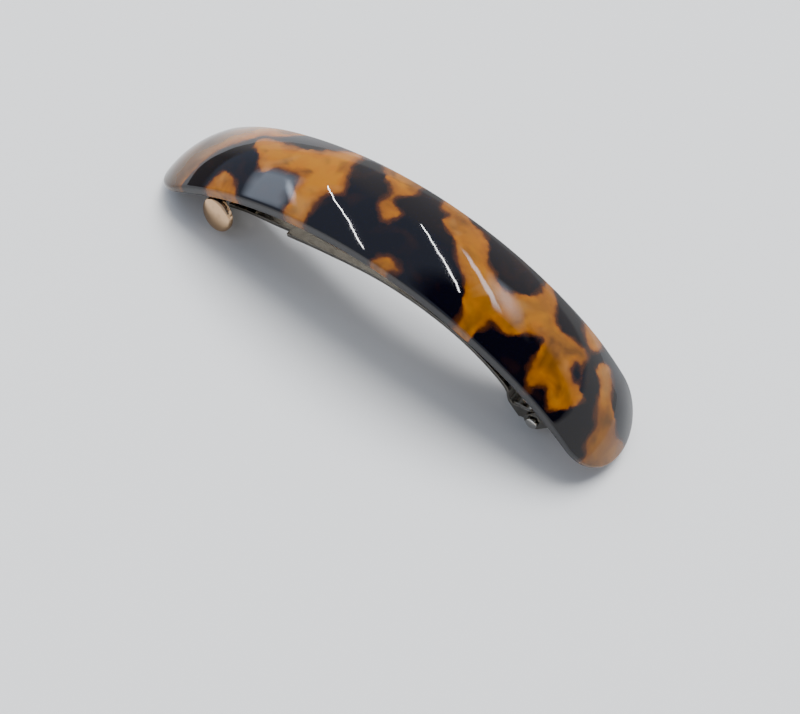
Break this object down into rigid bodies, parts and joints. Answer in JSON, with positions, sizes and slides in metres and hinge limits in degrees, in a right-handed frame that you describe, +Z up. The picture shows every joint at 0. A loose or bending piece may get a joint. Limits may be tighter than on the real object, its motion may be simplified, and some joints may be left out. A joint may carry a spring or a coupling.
{
  "type": "hair barrette",
  "caption": "Arched hair barrette: a crowned acetate bar with a tortoiseshell pattern on a sprung steel clip with a hinged arm and a pinch catch.",
  "frame": {"origin": "on the surface that the barrette rests on, below the middle of its bounding box", "axes": "+X along the bar towards the hinge of the arm, +Y across the bar, +Z up, away from the surface and through the crown of the arch"},
  "size_m": [0.1012, 0.0196, 0.0255],
  "materials": {
    "tortoiseshell_acetate": "polished cellulose acetate, amber and milky orange with near-black blotches",
    "nickel_plated_steel": "polished nickel plate",
    "spring_steel": "rolled spring steel, nickel plated",
    "rivet_steel": "bright, slightly domed heads",
    "pale_gold": "polished pale gold plate"
  },
  "bodies": {
    "bar_and_base": {"acetate_bar": "tortoiseshell_acetate", "base_plate": "nickel_plated_steel", "bar_rivet_catch_side": "rivet_steel", "bar_rivet_hinge_side": "rivet_steel", "catch_web": "nickel_plated_steel", "catch_rivet": "rivet_steel", "hinge_pin": "rivet_steel"},
    "swing_arm": {"swing_arm": "nickel_plated_steel"},
    "tension_bar": {"tension_bar": "spring_steel"},
    "catch_lever_near": {"catch_lever_near": "nickel_plated_steel", "finger_pad_near": "pale_gold"},
    "catch_lever_far": {"catch_lever_far": "nickel_plated_steel", "finger_pad_far": "pale_gold"}
  },
  "joints": [
    {"name": "arm_swing", "type": "hinge", "parent": "bar_and_base", "child": "swing_arm", "pos_m": [0.03465, 0, 0.00261], "axis": [0, -1, 0], "range_deg": [0, 100]},
    {"name": "tension_bar_press", "type": "hinge", "parent": "bar_and_base", "child": "tension_bar", "pos_m": [0.03465, 0, 0.00261], "axis": [0, 1, 0], "range_deg": [0, 1.5], "stiffness_Nm_per_rad": 0.6},
    {"name": "near_pad_pinch", "type": "hinge", "parent": "bar_and_base", "child": "catch_lever_near", "pos_m": [-0.03786, -0.0051, 0.00809], "axis": [0.8351, 0, 0.5501], "range_deg": [0, 5], "stiffness_Nm_per_rad": 0.05},
    {"name": "far_pad_pinch", "type": "hinge", "parent": "bar_and_base", "child": "catch_lever_far", "pos_m": [-0.03786, 0.0051, 0.00809], "axis": [-0.8351, 0, -0.5501], "range_deg": [0, 5], "stiffness_Nm_per_rad": 0.05}
  ]
}
